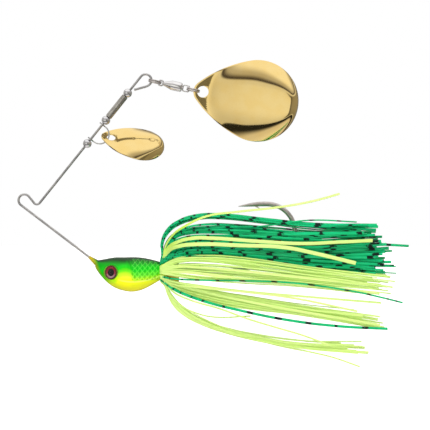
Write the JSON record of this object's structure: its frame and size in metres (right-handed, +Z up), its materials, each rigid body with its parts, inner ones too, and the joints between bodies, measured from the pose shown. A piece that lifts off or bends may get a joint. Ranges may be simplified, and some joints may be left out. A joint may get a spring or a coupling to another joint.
{
  "type": "spinnerbait",
  "caption": "Bent-wire fishing lure: painted fish-shaped head on a hook with a silicone strand skirt, and gold blades turning on the upper arm.",
  "frame": {"origin": "centre of the R-bend line tie at the front of the bent wire", "axes": "+X runs back from the line tie to the skirt's tips, +Z up towards the hook point's side, and the wire and the hook lie in the XZ plane"},
  "size_m": [0.1339, 0.0262, 0.1024],
  "materials": {
    "wire": "bright drawn stainless wire",
    "hook_steel": "satin grey plated hook",
    "head_paint": "gloss enamel: dark green back, bright green sides, yellow belly, clear coat",
    "eye_foil": "printed red foil with a black pupil",
    "eye_lens": "clear resin dome",
    "band_rubber": "chartreuse rubber",
    "skirt_yellow": "translucent chartreuse silicone strands",
    "skirt_green": "translucent green silicone strands with black bars",
    "bead_chrome": "bright plated beads",
    "tube_steel": "drawn steel tube",
    "clevis_steel": "stamped nickel-plated strap",
    "gold_plate": "polished gold-plated sheet brass",
    "ring_steel": "flattened spring wire",
    "swivel_chrome": "polished plating",
    "ball_steel": "polished bearing balls"
  },
  "bodies": {
    "lure": {"wire_arm": "wire", "hook": "hook_steel", "head": "head_paint", "eye_disc_left": "eye_foil", "eye_disc_right": "eye_foil", "eye_lens_left": "eye_lens", "eye_lens_right": "eye_lens", "skirt_band": "band_rubber", "skirt_lower": "skirt_yellow", "skirt_middle_left": "skirt_yellow", "skirt_middle_right": "skirt_yellow", "skirt_upper_left": "skirt_green", "skirt_upper_right": "skirt_green", "stop_bead": "bead_chrome"},
    "front_ring": {"split_ring_front": "ring_steel"},
    "swivel_front": {"swivel_front_eye": "swivel_chrome", "swivel_barrel": "swivel_chrome"},
    "swivel_rear": {"swivel_rear_eye": "swivel_chrome", "swivel_bearing_balls": "ball_steel"},
    "rear_ring": {"split_ring_rear": "ring_steel"},
    "large_blade": {"blade_large": "gold_plate"},
    "clevis": {"clevis": "clevis_steel"},
    "small_blade": {"blade_small": "gold_plate"},
    "middle_bead": {"bead_middle": "bead_chrome"},
    "spacer": {"spacer_tube": "tube_steel"},
    "upper_bead": {"bead_upper": "bead_chrome"}
  },
  "joints": [
    {"name": "front_ring_swing", "type": "hinge", "parent": "lure", "child": "front_ring", "pos_m": [0.04118, 0, 0.04083], "axis": [0, 1, 0], "range_deg": [-60, 40]},
    {"name": "swivel_swing", "type": "hinge", "parent": "front_ring", "child": "swivel_front", "pos_m": [0.04573, 0, 0.04005], "axis": [0.2164, 0, 0.9763], "range_deg": [-40, 40]},
    {"name": "swivel_spin", "type": "hinge", "parent": "swivel_front", "child": "swivel_rear", "pos_m": [0.05087, 0, 0.03891], "axis": [0.9763, 0, -0.2164], "continuous": true},
    {"name": "rear_ring_swing", "type": "hinge", "parent": "swivel_rear", "child": "rear_ring", "pos_m": [0.056, 0, 0.03777], "axis": [0.2164, 0, 0.9763], "range_deg": [-40, 40]},
    {"name": "large_blade_swing", "type": "hinge", "parent": "rear_ring", "child": "large_blade", "pos_m": [0.05936, 0, 0.03703], "axis": [0, 1, 0], "range_deg": [-55, 55]},
    {"name": "clevis_spin", "type": "hinge", "parent": "lure", "child": "clevis", "pos_m": [0.02452, 0, 0.02323], "axis": [0.6252, 0, 0.7804], "continuous": true},
    {"name": "small_blade_swing", "type": "hinge", "parent": "clevis", "child": "small_blade", "pos_m": [0.02558, 0, 0.02239], "axis": [0, 1, 0], "range_deg": [-35, 85]},
    {"name": "middle_bead_spin", "type": "hinge", "parent": "lure", "child": "middle_bead", "pos_m": [0.02452, 0, 0.02323], "axis": [0.6252, 0, 0.7804], "continuous": true},
    {"name": "spacer_spin", "type": "hinge", "parent": "lure", "child": "spacer", "pos_m": [0.02452, 0, 0.02323], "axis": [0.6252, 0, 0.7804], "continuous": true},
    {"name": "upper_bead_spin", "type": "hinge", "parent": "lure", "child": "upper_bead", "pos_m": [0.02452, 0, 0.02323], "axis": [0.6252, 0, 0.7804], "continuous": true}
  ]
}
